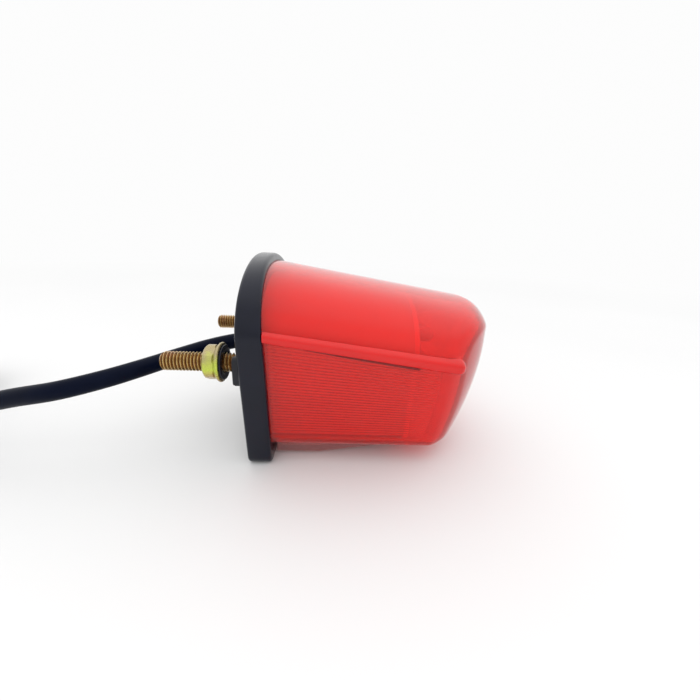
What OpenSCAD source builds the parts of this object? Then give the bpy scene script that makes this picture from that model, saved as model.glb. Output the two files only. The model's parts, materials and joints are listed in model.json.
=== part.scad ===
// Motorcycle tail light: a red lens bonded to a black base with a rubber gasket, two
// mounting studs with nuts, a white inner carrier with its boards, and a cable with a plug.
// X runs from the mounting face to the nose, Y across, Z up, and Z = 0 is the stud height.

/* [Base] */
// Width of the gasket across its shoulders
base_w = 71.4; // [68:0.2:76]
// Height of the gasket's arch above the studs
arch_h = 31.4; // [30:0.2:34]
// Depth of the gasket's flat foot below the studs
foot_drop = 34.8; // [33:0.2:38]
// Height of the shoulders above the studs
shoulder_h = 8.6; // [8:0.2:11]
// Thickness of the gasket, back to front
gasket_t = 7.7; // [7.5:0.1:9]
// Slope by which the gasket's front face leans back
gasket_fall = 0.033; // [0:0.001:0.035]
// Inward lean of the flat sides, per millimetre of height
side_lean = 0.16; // [0.1:0.01:0.25]

/* [Lens] */
// Distance from the mounting face to the tip of the nose
lens_len = 81; // [76:1:86]
// Wall of the red lens
lens_wall = 2.2; // [1.6:0.1:2.6]
// Fall of the top line, per millimetre towards the nose
top_fall = 0.152; // [0.1:0.002:0.18]
// Radius of the nose as seen from above
nose_r = 32.6; // [30:0.2:40]
// Depth of the nose in front of the white carrier
nose_room = 29; // [27:0.5:32]
// Backward rake of the nose below its brow, per millimetre of height
nose_rake = 0.23; // [0.15:0.005:0.3]
// Radius of the bead along each shoulder, at the gasket
bead_r = 1.8; // [1.2:0.1:2.2]
// Growth of the bead's radius up to the nose
bead_grow = 0.5; // [0:0.1:0.8]
// Spacing of the flutes inside the side walls
flute_pitch = 1.15; // [1:0.05:1.4]

/* [Studs] */
// Distance from a stud's axis to the side of the base, at the shoulder
stud_edge = 9.7; // [9.5:0.1:12]
// Radius of the threaded end that stands clear of the nut
stud_r = 3; // [2.5:0.5:3]
// Length of a stud behind the mounting face
stud_free = 24.4; // [24:0.2:30]
// Nut size across its flats
nut_af = 10; // [10:0.5:11]
// Distance from the mounting face to the washer's front face
washer_x = 5.6; // [5:0.2:8]

/* [Cable] */
// Outer diameter of the cable's sheath
cable_d = 5.5; // [5:0.5:6]
// Number of turns in the coil
coil_turns = 2; // [1:1:3]

/* [Hidden] */
$fn = 48;
fit_gap = 0.02;

// Outline of the gasket and of the lens: half width, shoulder, top, bottom, corner
gasket_form = [base_w / 2, shoulder_h, arch_h, -foot_drop, 4];
lens_x = 4.9;
lens_half = base_w / 2 - 1.5;
lens_shoulder = shoulder_h + 2.5;
lens_top = arch_h - 2.3;
lens_bottom = -foot_drop + 6.8;
lens_corner = 4.5;
half_taper = 0.012;
shoulder_fall = 0.132;
arch_power = 2.06;
lean_a = atan(side_lean);
corner_n = 4;
side_n = 5;
arch_n = 13;

// Nose of the lens
brow_z = shoulder_h - 3.3;
rake_power = 1.8;
top_edge_r = 8.9;
side_edge_r = 3.5;
bottom_edge_r = 5;
centre_z = -4;
edge_steps = 6;
face_steps = 5;

// Base plate, inside the gasket
plate_inset = 2.4;
plate_back = 1.4;
plate_t = 3.4;
plate_front = plate_back + plate_t;
rim_t = 1.6;
rim_front = plate_front + 1.2;
lip_in = 3.2;
grommet_hole_r = cable_d / 2 + 2;
pad_out = 2.8;
pad_top = stud_r - 0.4;
pad_bottom = -stud_r - 3.6;
pad_in = stud_r + 1.6;
pad_edge = stud_edge - lip_in - side_lean * (shoulder_h - pad_bottom) - 0.1;
pad_round = 0.5;

// Studs, nuts and washers
stud_y = base_w / 2 - stud_edge;
shank_r = stud_r - 0.07;
nut_bore_r = stud_r + fit_gap;
nut_t = 5;
nut_corner_r = nut_af / 2 + 0.4;
nut_turn = -12;
nut_flange_r = 6.1;
nut_flange_t = 1.6;
washer_r = 5.3;
washer_t = 0.7;
washer_bore_r = stud_r + 0.25;
nut_front = washer_x + washer_t;
nut_back = nut_front + nut_t;
stud_head_r = 4.6;
stud_head_t = 1.8;
stud_head_x = plate_back + 1;

// Carrier and boards
carrier_inset = lens_wall + 1.4;
carrier_wall = 1.5;
carrier_back = rim_front + 0.3;
carrier_front = lens_len - nose_room;
board_t = 1.6;
board_inset = 9;
board_x = carrier_front;
board_half = lens_half - half_taper * (carrier_front - lens_x) - board_inset;
board_top = lens_top - top_fall * (carrier_front - lens_x) - board_inset;
board_bottom = lens_bottom + board_inset;
screw_r = 1.25;
screw_head_r = 2.5;
screw_head_t = 1.6;
board_screw_y = board_half - 7.5;
board_screw_z = board_bottom + 3.5;
led_r = 2.5;
led_collar_r = led_r + 0.35;
led_body = 4.2;
led_rows = [4, 5, 3];
led_edge = 3;
led_step = (board_half - led_collar_r - led_edge) / 2;
led_top_z = board_top - led_collar_r - 2.5;
led_low_z = board_bottom + 3.8 + led_collar_r;
led_rise = (led_top_z - led_low_z) / 2;
resistor_w = 3.2;
resistor_h = 1.6;
resistor_step = 2 * (board_screw_y - screw_head_r - resistor_w / 2 - 1) / 3;
lead_hole_z = board_bottom + 8;
lead_hole_r = 6;
window_x0 = gasket_t + 0.9;
window_x1 = carrier_front - 0.5;
window_edge = 1.4;
window_w = 2 * (corner_y(lens_form(window_x0, 0)) - window_edge);
window_wall = 1.6;
window_drop_back = 4.9;
window_drop_front = 0.8;
window_flat = 14;
window_step = 1.2;
plate_board_l = 26;
plate_board_w = 22;
plate_board_x = (window_x0 + window_x1) / 2;
plate_board_rise = 11;
plate_board_z = lens_bottom + plate_board_rise;
plate_led_count = 3;
plate_led_step = 7;
post_y = plate_board_w / 2 - 3;
post_x = plate_board_l / 2 - 4;
foot_in = 14.2;
foot_y = lens_half - foot_in;
foot_z = 14;

// Free cable: its route from the base to the coil, in round millimetres
floor_z = -foot_drop;
cable_inner_end = 9;
cable_route = [
    [cable_inner_end, 0, 0], [0, 0, 0], [-8.5, -0.5, -0.6], [-17.5, -4, -2], [-25.5, -11.5, -3.3],
    [-32.5, -20.5, -4.2], [-40, -28.5, -5.2], [-51, -33.5, -7.2], [-65, -33, -10.2],
    [-79, -31.5, -14.2], [-93, -29.3, -18.8], [-108, -26.8, -24.2], [-123, -24.6, -29]];
coil_r = 5 * cable_d;
coil_x = -153;
coil_y = 4;
coil_low_z = floor_z + cable_d / 2 + 0.8;
coil_pitch = 1.1 * cable_d;
ring_n = 24;
plug_l = 19;
plug_w = 15;
plug_h = 8.4;
plug_x = -207;
plug_y = -28;
plug_z = floor_z + plug_h / 2;
boot_l = 9;
boot_r = 4.1;
tie_w = 5;
tie_t = 1;

// Stretch 0 is half of the flat foot, 1 its corner, 2 the flat side, 3 half of the arch
half_marks = concat(
    [for (k = [0 : 2]) [0, k / 3]],
    [for (k = [0 : corner_n]) [1, k / corner_n]],
    [for (k = [1 : side_n]) [2, k / side_n]],
    [for (k = [1 : arch_n]) [3, k / arch_n]]);
marks = concat(
    [for (m = half_marks) [1, m[0], m[1]]],
    [for (k = [len(half_marks) - 2 : -1 : 1]) [-1, half_marks[k][0], half_marks[k][1]]]);

function corner_y(f) = f[0] - side_lean * (f[1] - f[3] - f[4]) - f[4] / cos(lean_a);
function side_foot(f) = [corner_y(f) + f[4] * cos(lean_a), f[3] + f[4] - f[4] * sin(lean_a)];
function mix(a, b, k) = a + k * (b - a);

// Point of an outline on its right half, for a stretch and a place along it from 0 to 1
function right_spot(stretch, k, f) =
    stretch == 0 ? [k * corner_y(f), f[3]]
    : stretch == 1 ? let (a = -90 + k * (90 - lean_a))
        [corner_y(f) + f[4] * cos(a), f[3] + f[4] + f[4] * sin(a)]
    : stretch == 2 ? mix(side_foot(f), [f[0], f[1]], k)
    : [f[0] * pow(cos(90 * k), 2 / arch_power),
        f[1] + (f[2] - f[1]) * pow(sin(90 * k), 2 / arch_power)];
function spot(m, f) = let (p = right_spot(m[1], m[2], f)) [m[0] * p[0], p[1]];

// Form of the lens at a distance along X, drawn in by an inset
function lens_form(x, inset) = [
    lens_half - half_taper * (x - lens_x) - inset,
    lens_shoulder - shoulder_fall * (x - lens_x),
    lens_top - top_fall * (x - lens_x) - inset,
    lens_bottom + inset,
    max(lens_corner - inset, 0.8)];
function inset_form(f, inset) = [f[0] - inset, f[1], f[2] - inset, f[3] + inset,
    max(f[4] - inset, 0.8)];

// Front of the nose at a place across and up, and the radius of its edge there
function nose_x(p, inset) = let (down = max(0, brow_z - p[1]), span = brow_z - lens_bottom)
    lens_len - inset - nose_rake * span * pow(down / span, rake_power) - p[0] * p[0] / (2 * nose_r);
function ease(k) = let (c = min(max(k, 0), 1)) c * c * (3 - 2 * c);
function edge_r(p, inset) = let (up = (p[1] - centre_z) / norm([p[0], p[1] - centre_z]))
    max(1, side_edge_r + (top_edge_r - side_edge_r) * ease((up - 0.45) / 0.5)
    + (bottom_edge_r - side_edge_r) * ease((-up - 0.6) / 0.35) - inset);
function shrunk(p, k) = [k * p[0], centre_z + k * (p[1] - centre_z)];
function edge_start(m, inset) = let (
    far = spot(m, lens_form(lens_len - nose_r / 2, inset)), r = edge_r(far, inset),
    near = spot(m, lens_form(nose_x(far, inset) - r, inset))) nose_x(near, inset) - r;

// Points of the lens skin: along the side walls, round the nose's edge, over its face
function wall_point(m, x, inset) = let (p = spot(m, lens_form(x, inset))) [x, p[0], p[1]];
function edge_point(m, a, inset) = let (
    xe = edge_start(m, inset), r = edge_r(spot(m, lens_form(xe, inset)), inset),
    x = xe + r * sin(a), p = spot(m, lens_form(x, inset)),
    q = shrunk(p, 1 - r * (1 - cos(a)) / norm([p[0], p[1] - centre_z])))
    [xe + (nose_x(q, inset) - xe) * sin(a), q[0], q[1]];
function face_point(m, k, inset) = let (
    e = edge_point(m, 90, inset), q = shrunk([e[1], e[2]], k)) [nose_x(q, inset), q[0], q[1]];
function lens_rings(back_x, inset) = concat(
    [[for (m = marks) wall_point(m, back_x, inset)]],
    [for (j = [0 : edge_steps]) [for (m = marks) edge_point(m, 90 * j / edge_steps, inset)]],
    [for (j = [1 : face_steps]) [for (m = marks)
        face_point(m, 1 - 0.97 * j / face_steps, inset)]]);

// Skin over rings of equal length, capped by fans at both ends, or joined end to end
function middle(ring) = [for (c = [0 : 2])
    (min([for (p = ring) p[c]]) + max([for (p = ring) p[c]])) / 2];
module skin(rings, loop = false) {
    n = len(rings[0]);
    rows = len(rings);
    last = loop ? rows - 1 : rows - 2;
    sides = [for (i = [0 : last]) for (k = [0 : n - 1]) for (half = [0, 1])
        let (j = (i + 1) % rows, k1 = (k + 1) % n)
        half == 0 ? [i * n + k, j * n + k, j * n + k1] : [i * n + k, j * n + k1, i * n + k1]];
    caps = loop ? [] : [for (k = [0 : n - 1]) for (end = [0, 1])
        let (k1 = (k + 1) % n, base = (rows - 1) * n)
        end == 0 ? [k, k1, rows * n] : [base + k1, base + k, rows * n + 1]];
    polyhedron(points = concat([for (r = rings) each r], [middle(rings[0]), middle(rings[rows - 1])]),
        faces = concat(sides, caps), convexity = 8);
}

// Straight stretch of the lens form between two places along X
module lens_block(x0, x1, inset) {
    skin([for (x = [x0, x1]) [for (m = marks) wall_point(m, x, inset)]]);
}

// Round tube along a list of points, its rings square to the route
function direction(p, i) = let (n = len(p), d = p[min(i + 1, n - 1)] - p[max(i - 1, 0)]) d / norm(d);
function tube_ring(p, i, r, sides) = let (
    t = direction(p, i), across = cross([0, 0, 1], t), y = across / norm(across), z = cross(t, y))
    [for (k = [0 : sides - 1]) p[i] + r * (cos(360 * k / sides) * y + sin(360 * k / sides) * z)];
module tube(points, r, sides = 8) {
    skin([for (i = [0 : len(points) - 1]) tube_ring(points, i, r, sides)]);
}

// Smooth curve through hand-chosen points
function bend(a, b, c, d, k) = 0.5 * (2 * b + (c - a) * k + (2 * a - 5 * b + 4 * c - d) * k * k
    + (3 * b - a - 3 * c + d) * k * k * k);
function curve(p, steps) = let (n = len(p)) concat(
    [for (i = [0 : n - 2]) for (s = [0 : steps - 1])
        bend(p[max(i - 1, 0)], p[i], p[i + 1], p[min(i + 2, n - 1)], s / steps)],
    [p[n - 1]]);

module lens() {
    color([0.75, 0.04, 0.03, 0.8]) difference() {
        union() {
            difference() {
                skin(lens_rings(lens_x, 0));
                skin(lens_rings(lens_x - 1, lens_wall));
            }
            for (side = [-1, 1]) shoulder_bead(side);
            for (side = [-1, 1]) fluted_panel(side);
        }
        window_hole(0);
    }
}

// Half-round bead that runs along a shoulder to the nose's edge
module shoulder_bead(side) {
    start_x = gasket_front(lens_shoulder - 3);
    start = [start_x, lens_half - half_taper * (start_x - lens_x),
        lens_shoulder - shoulder_fall * (start_x - lens_x)];
    end_x = lens_len - pow(lens_half, 2) / (2 * nose_r);
    end_r = bead_r + bead_grow;
    end = [end_x, lens_half - half_taper * (end_x - lens_x),
        lens_shoulder - shoulder_fall * (end_x - lens_x)];
    run = end - start;
    intersection() {
        translate([start[0], side * (start[1] - 0.4), start[2]])
            rotate([0, 90 + atan(shoulder_fall), -side * atan(half_taper)]) {
                cylinder(r1 = bead_r, r2 = end_r, h = norm(run));
                translate([0, 0, norm(run)]) sphere(r = end_r);
            }
        translate([start_x, -base_w, -arch_h]) cube([lens_len, 2 * base_w, 3 * arch_h]);
    }
}

// Toothed strip on the inside of a side wall, its teeth running along X
module fluted_panel(side) {
    panel_lean = half_taper - side_lean * shoulder_fall;
    panel_x = rim_front + 0.6;
    panel_l = carrier_front - panel_x + 6;
    low = lens_bottom + 6;
    high = lens_shoulder - shoulder_fall * panel_l - 2;
    count = floor((high - low) / cos(lean_a) / flute_pitch);
    in_y = lens_half - lens_wall - side_lean * (lens_shoulder - low);
    y_low = in_y - panel_lean * (panel_x - lens_x) + 0.25;
    teeth = concat([[1, 0]], [for (i = [0 : count - 1]) each [
        [0, i * flute_pitch], [-0.6, (i + 0.5) * flute_pitch]]],
        [[0, count * flute_pitch], [1, count * flute_pitch]]);
    mirror([0, side < 0 ? 1 : 0, 0]) translate([panel_x, y_low, low])
        rotate([0, 0, -atan(panel_lean)]) rotate([-lean_a, 0, 0])
            rotate([90, 0, 90]) linear_extrude(panel_l) polygon(teeth);
}

// Opening in the foot of the lens for the clear window, grown by a clearance
module window_hole(gap) {
    translate([window_x0 - gap, -window_w / 2 - gap, lens_bottom - 5])
        cube([window_x1 - window_x0 + 2 * gap, window_w + 2 * gap, 5 + 2 * lens_wall]);
}

module plate_window() {
    l = window_x1 - window_x0 - 2 * fit_gap;
    w = window_w - 2 * fit_gap;
    shelf = lens_bottom + lens_wall + fit_gap;
    color([0.85, 0.87, 0.88, 0.5]) difference() {
        union() {
            translate([window_x0 + fit_gap, w / 2, 0]) rotate([90, 0, 0]) linear_extrude(w)
                polygon([[0, shelf + window_step], [l, shelf + window_step],
                    [l, lens_bottom - window_drop_front], [window_flat, lens_bottom - window_drop_back],
                    [0, lens_bottom - window_drop_back]]);
            translate([window_x0 - window_step, -w / 2 - window_step, shelf])
                cube([l + 2 * window_step, w + 2 * window_step, window_step]);
        }
        translate([window_x0 + window_wall, w / 2 - window_wall, 0]) rotate([90, 0, 0])
            linear_extrude(w - 2 * window_wall) polygon([
                [0, shelf + 2 * window_step], [l - 2 * window_wall, shelf + 2 * window_step],
                [l - 2 * window_wall, lens_bottom - window_drop_front + window_wall],
                [window_flat - window_wall, lens_bottom - window_drop_back + window_wall],
                [0, lens_bottom - window_drop_back + window_wall]]);
    }
}

// Front face of the gasket at a height
function gasket_front(z) = gasket_t - gasket_fall * (z + foot_drop);

// Gasket section: places along X and insets from the outline, once round
module base_gasket() {
    front_lip = 1.9;
    section = [
        [0, lip_in], [0, 1.1], [0.35, 0.35], [1.1, 0], [gasket_t - 1.1, 0],
        [gasket_t - 0.35, 0.35], [gasket_t, 1.1], [gasket_t, front_lip],
        [plate_front, front_lip], [plate_front, plate_inset - 0.1],
        [plate_back, plate_inset - 0.1], [plate_back, lip_in]];
    color([0.09, 0.09, 0.1]) difference() {
        skin([for (s = section) [for (m = marks)
            let (p = spot(m, inset_form(gasket_form, s[1])),
                x = s[0] > plate_front ? s[0] - gasket_t + gasket_front(p[1]) : s[0])
            [x, p[0], p[1]]]], loop = true);
        skin([for (x = [plate_front, gasket_t + 1]) [for (m = marks) wall_point(m, x, -0.05)]]);
    }
}

module base_plate() {
    color([0.12, 0.12, 0.13]) difference() {
        union() {
            skin([for (x = [plate_back, plate_front]) [for (m = marks)
                let (p = spot(m, inset_form(gasket_form, plate_inset))) [x, p[0], p[1]]]]);
            lens_block(plate_back, rim_front, lens_wall + 0.1);
            for (side = [-1, 1]) anti_turn_pad(side);
        }
        difference() {
            lens_block(plate_front, rim_front + 1, lens_wall + 0.1 + rim_t);
            for (y = [-1, 1]) for (z = [-1, 1]) translate([0, y * foot_y, z * foot_z])
                rotate([0, 90, 0]) cylinder(r = 3.4, h = carrier_back);
        }
        for (side = [-1, 1]) stud_holes(side);
        rotate([0, 90, 0]) translate([0, 0, -pad_out - 1]) cylinder(r = grommet_hole_r, h = 20);
        for (y = [-1, 1]) for (z = [-1, 1]) translate([plate_back + 0.8, y * foot_y, z * foot_z])
            rotate([0, 90, 0]) cylinder(r = screw_r, h = 20);
    }
}

// Square boss round each stud's root that drops into a slot of the bracket
module anti_turn_pad(side) {
    mirror([0, side < 0 ? 1 : 0, 0]) translate([-pad_out, stud_y, 0]) rotate([90, 0, 90]) {
        linear_extrude(pad_round) pad_outline(pad_round);
        translate([0, 0, pad_round - 0.01])
            linear_extrude(pad_out + plate_back + 0.5 - pad_round) pad_outline(0);
    }
}

// Outline of the boss, its corners rounded off by circles, drawn in by an inset
module pad_outline(inset) {
    r = 1.5;
    d = inset * 0.3;
    y0 = -pad_in + d;
    y1 = pad_edge - d;
    z0 = pad_bottom + d;
    z1 = pad_top - d;
    translate([y0 + r, z0]) square([y1 - y0 - 2 * r, z1 - z0]);
    translate([y0, z0 + r]) square([y1 - y0, z1 - z0 - 2 * r]);
    for (y = [y0 + r, y1 - r]) for (z = [z0 + r, z1 - r]) translate([y, z]) circle(r = r);
}

// Bore for a stud's shank, and the closed pocket that its round head is moulded into
module stud_holes(side) {
    translate([0, side * stud_y, 0]) rotate([0, 90, 0]) {
        translate([0, 0, -pad_out - 1]) cylinder(r = shank_r + fit_gap, h = pad_out + 1.1 + stud_head_x);
        translate([0, 0, stud_head_x - fit_gap])
            cylinder(r = stud_head_r + fit_gap, h = stud_head_t + 2 * fit_gap);
    }
}

module stud(side) {
    color([0.78, 0.6, 0.25]) translate([0, side * stud_y, 0]) rotate([0, 90, 0]) {
        translate([0, 0, -stud_free + 0.8]) cylinder(r = stud_r, h = stud_free - 0.8 - nut_back - 0.4);
        translate([0, 0, -stud_free]) cylinder(r1 = stud_r - 0.8, r2 = stud_r, h = 0.8);
        translate([0, 0, -nut_back - 0.41]) cylinder(r = shank_r, h = nut_back + 0.51 + stud_head_x);
        translate([0, 0, stud_head_x]) cylinder(r = stud_head_r, h = stud_head_t);
    }
}

module left_stud() { stud(-1); }
module right_stud() { stud(1); }

// Flange nut: its flange faces the base, its outer corners are chamfered
module nut(side) {
    color([0.8, 0.78, 0.35]) translate([-nut_back, side * stud_y, 0]) rotate([0, 90, 0])
        difference() {
            union() {
                intersection() {
                    rotate(nut_turn) cylinder(r = nut_af / 2 / cos(30), h = nut_t - 0.6, $fn = 6);
                    rotate_extrude() polygon([[0, 0], [nut_af / 2 - 0.3, 0],
                        [nut_corner_r, 0.6], [nut_corner_r, nut_t], [0, nut_t]]);
                }
                rotate_extrude() polygon([[0, nut_t - nut_flange_t - 0.6],
                    [nut_af / 2 - 0.2, nut_t - nut_flange_t - 0.6], [nut_flange_r - 0.2, nut_t - 0.8],
                    [nut_flange_r, nut_t - 0.6], [nut_flange_r, nut_t], [0, nut_t]]);
            }
            translate([0, 0, -1]) cylinder(r = nut_bore_r, h = nut_t + 2);
        }
}

module left_nut() { nut(-1); }
module right_nut() { nut(1); }

module washer(side) {
    color([0.08, 0.08, 0.09]) translate([-nut_front + fit_gap, side * stud_y, 0])
        rotate([0, 90, 0]) rotate_extrude() polygon([
            [washer_bore_r, 0], [washer_r - 0.3, 0], [washer_r, 0.3],
            [washer_r, washer_t - 0.3], [washer_r - 0.3, washer_t], [washer_bore_r, washer_t]]);
}

module left_washer() { washer(-1); }
module right_washer() { washer(1); }

// White box that follows the inside of the lens, open at the back and below
module led_carrier() {
    color([0.93, 0.93, 0.92]) difference() {
        union() {
            difference() {
                lens_block(carrier_back, carrier_front, carrier_inset);
                lens_block(carrier_back - 1, carrier_front - carrier_wall,
                    carrier_inset + carrier_wall);
            }
            for (y = [-1, 1]) for (z = [-1, 1]) carrier_foot(y, z * foot_z);
            for (x = [-1, 1]) for (y = [-1, 1]) plate_post(plate_board_x + x * post_x, y * post_y);
            plate_bridge();
        }
        translate([window_x0, -window_w / 2, lens_bottom])
            cube([carrier_front - carrier_wall - 1 - window_x0, window_w, carrier_inset + carrier_wall + 1]);
        for (y = [-1, 1]) translate([carrier_front - 6, y * board_screw_y, board_screw_z])
            rotate([0, 90, 0]) cylinder(r = screw_r, h = 10);
        for (y = [-1, 1]) for (z = [-1, 1]) translate([0, y * foot_y, z * foot_z])
            rotate([0, 90, 0]) cylinder(r = screw_r + 0.3, h = carrier_back + 6);
        for (x = [-1, 1]) for (y = [-1, 1])
            translate([plate_board_x + x * post_x, y * post_y, plate_board_z])
                cylinder(r = screw_r, h = 5);
        translate([carrier_front - 5, 0, lead_hole_z]) rotate([0, 90, 0])
            cylinder(r = lead_hole_r, h = 10);
    }
}

// Foot from the side wall with a ledge for a screw into the base plate
module carrier_foot(side, z) {
    intersection() {
        mirror([0, side < 0 ? 1 : 0, 0]) translate([carrier_back, foot_y - 3.5, z - 3.5])
            cube([2.2, 12, 7]);
        lens_block(carrier_back - 1, carrier_front, carrier_inset + carrier_wall / 2);
    }
}

module plate_post(x, y) {
    translate([x, y, plate_board_z + board_t / 2]) cylinder(r = 2.6, h = 6);
}

// Cross wall that carries the posts of the plate board
module plate_bridge() {
    intersection() {
        translate([plate_board_x - post_x - 4, -base_w / 2, plate_board_z + 5])
            cube([2 * post_x + 8, base_w, 1.6]);
        lens_block(carrier_back - 1, carrier_front, carrier_inset + carrier_wall / 2);
    }
}

module main_board() {
    color([0.05, 0.3, 0.12]) difference() {
        skin([for (x = [board_x + 0.02, board_x + board_t]) [for (m = marks)
            let (p = spot(m, lens_form(carrier_front, board_inset))) [x, p[0], p[1]]]]);
        for (y = [-1, 1]) translate([carrier_front - 1, y * board_screw_y, board_screw_z])
            rotate([0, 90, 0]) cylinder(r = screw_r + 0.1, h = 10);
    }
}

module tail_leds() {
    color([0.9, 0.3, 0.3]) for (k = [0 : len(led_rows) - 1]) for (i = [0 : led_rows[k] - 1])
        translate([board_x + board_t + fit_gap, (i - (led_rows[k] - 1) / 2) * led_step,
            led_top_z - k * led_rise]) rotate([0, 90, 0]) led(led_body);
}

// Round light with a collar and a domed top
module led(h) {
    cylinder(r = led_collar_r, h = 1);
    cylinder(r = led_r, h = h);
    translate([0, 0, h]) sphere(r = led_r);
}

module resistors() {
    color([0.2, 0.2, 0.22]) for (i = [-1.5 : 1.5])
        translate([board_x + board_t + fit_gap, i * resistor_step - resistor_w / 2, board_bottom + 1.2])
            cube([0.9, resistor_w, resistor_h]);
}

module polarity_diode() {
    color([0.1, 0.1, 0.1]) translate([board_x + board_t + fit_gap, led_step - 1.4,
        led_top_z - led_rise / 2 - 0.8]) cube([1.1, 2.8, 1.6]);
}

module screw(h) {
    cylinder(r = screw_r - fit_gap, h = h);
    translate([0, 0, -screw_head_t]) cylinder(r1 = screw_head_r - 0.5, r2 = screw_head_r, h = screw_head_t);
}

module board_screws() {
    color([0.75, 0.75, 0.77]) for (y = [-1, 1])
        translate([board_x + board_t + fit_gap, y * board_screw_y, board_screw_z])
            rotate([0, -90, 0]) screw(5);
}

module plate_board() {
    color([0.05, 0.3, 0.12]) difference() {
        translate([plate_board_x - plate_board_l / 2, -plate_board_w / 2,
            plate_board_z - board_t / 2 - fit_gap]) cube([plate_board_l, plate_board_w, board_t]);
        for (x = [-1, 1]) for (y = [-1, 1])
            translate([plate_board_x + x * post_x, y * post_y, plate_board_z - 5])
                cylinder(r = screw_r + 0.1, h = 10);
    }
}

module plate_leds() {
    color([0.95, 0.95, 0.85]) for (i = [0 : plate_led_count - 1])
        translate([plate_board_x, (i - (plate_led_count - 1) / 2) * plate_led_step,
            plate_board_z - board_t / 2 - 2 * fit_gap]) rotate([180, 0, 0]) led(2.6);
}

module plate_board_screws() {
    color([0.75, 0.75, 0.77]) for (x = [-1, 1]) for (y = [-1, 1])
        translate([plate_board_x + x * post_x, y * post_y, plate_board_z - board_t / 2 - 2 * fit_gap])
            screw(4);
}

module carrier_screws() {
    color([0.75, 0.75, 0.77]) for (y = [-1, 1]) for (z = [-1, 1])
        translate([carrier_back + 2.2 + fit_gap, y * foot_y, z * foot_z])
            rotate([0, -90, 0]) screw(carrier_back + 2.2 - plate_back - 1);
}

// Inner leads, from the end of the sheath to the back of the main board
lead_r = 0.65;
lead_end = 0.15;
lead_climb = 12;
lead_turn = 15;
function lead_route(y, z, top_y, top_z) = curve([
    [cable_inner_end + lead_end, y, z], [cable_inner_end + 4, y, z],
    [carrier_back + lead_climb, 3 * y + top_y / 2, z + top_z / 3],
    [carrier_front - lead_turn, top_y, top_z],
    [carrier_front - 5, top_y / 2 + y / 2, lead_hole_z + 2.5 + z], [board_x - 2, y, lead_hole_z + 1 + z],
    [board_x - lead_end, y, lead_hole_z + 1 + z]], 4);
module tail_lead() { color([0.4, 0.2, 0.08]) tube(lead_route(-1.1, -0.7, -5, 3), lead_r); }
module stop_lead() { color([0.8, 0.1, 0.08]) tube(lead_route(1.1, -0.7, 5, 4), lead_r); }
module earth_lead() { color([0.06, 0.06, 0.06]) tube(lead_route(0, 1.2, 0, 6), lead_r); }
module plate_jumpers() {
    plate_end = plate_board_x + plate_board_l / 2;
    plate_top = plate_board_z + board_t / 2;
    color([0.8, 0.1, 0.08]) for (y = [-3, 3]) tube(curve([
        [board_x - lead_end, y, lead_hole_z - 2.8], [board_x - 2.5, y, lead_hole_z - 2.8],
        [(plate_end + board_x) / 2, 1.2 * y, lead_hole_z - 3], [plate_end + 0.5, 1.4 * y, plate_top + 1.9],
        [plate_end - 1.2, 1.4 * y, plate_top + 1.6], [plate_end - 1.8, 1.4 * y, plate_top + 0.9],
        [plate_end - 1.8, 1.4 * y, plate_top + 0.2]], 4), lead_r / 1.3);
}

module cable_grommet() {
    flange_r = grommet_hole_r + 1.8;
    color([0.08, 0.08, 0.09]) rotate([0, 90, 0]) rotate_extrude() polygon([
        [cable_d / 2 + fit_gap, plate_back - 1.4], [flange_r - 0.5, plate_back - 1.4],
        [flange_r, plate_back - 0.9], [flange_r, plate_back - fit_gap],
        [grommet_hole_r - fit_gap, plate_back - fit_gap],
        [grommet_hole_r - fit_gap, plate_front + fit_gap], [flange_r, plate_front + fit_gap],
        [flange_r, plate_front + 1], [flange_r - 0.5, plate_front + 1.5],
        [cable_d / 2 + fit_gap, plate_front + 1.5]]);
}

// The coil winds clockwise from its near side and climbs by a pitch each turn
function coil_point(a) = [
    coil_x - coil_r * sin(a), coil_y - coil_r * cos(a), coil_low_z + coil_pitch * a / 360];
coil_start = coil_point(0);
coil_dir = direction([coil_point(0), coil_point(1)], 0);
coil_lead = [for (s = [3 * cable_d, 1.5 * cable_d]) coil_start - s * coil_dir];
coil_end = coil_point(360 * coil_turns);
plug_back = [plug_x, plug_y, plug_z];
tail = curve([coil_point(360 * coil_turns - 15), coil_end,
    coil_end + [-9, -0.5, 0], coil_end + [-18, -1.9, -1.7], coil_end + [-27, -3.2, -5.2],
    coil_end + [-36, -4.2, -8.6], plug_back + [1.5 * cable_d, 0.2, 0.4], plug_back], 4);
free_points = concat(curve(concat(cable_route, coil_lead), 5), [coil_start]);
coil_points = concat(
    [for (k = [0 : ring_n * coil_turns]) coil_point(360 * k / ring_n)],
    [for (k = [5 : len(tail) - 1]) tail[k]]);

// Least distance between the surfaces of separate stretches of the coil
turn_gap = min([for (i = [0 : len(coil_points) - 14]) for (j = [i + 13 : len(coil_points) - 1])
    norm(coil_points[i] - coil_points[j])]) - cable_d;
echo(least_coil_gap_mm = turn_gap);

module cable() { color([0.08, 0.08, 0.1]) tube(free_points, cable_d / 2, 10); }
module cable_coil() { color([0.08, 0.08, 0.1]) tube(coil_points, cable_d / 2, 6); }

// Flat strap round all turns of the coil at its far side
module cable_tie() {
    in_w = cable_d + 1.6;
    rise = coil_pitch * (coil_turns - 1);
    in_h = rise + cable_d + 1.2;
    mid_z = coil_low_z + coil_pitch * (coil_turns) / 2;
    color([0.1, 0.1, 0.1]) translate([coil_x, coil_y + coil_r, mid_z]) difference() {
        cube([tie_w, in_w + 2 * tie_t, in_h + 2 * tie_t], center = true);
        cube([tie_w + 1, in_w, in_h], center = true);
    }
}

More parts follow.
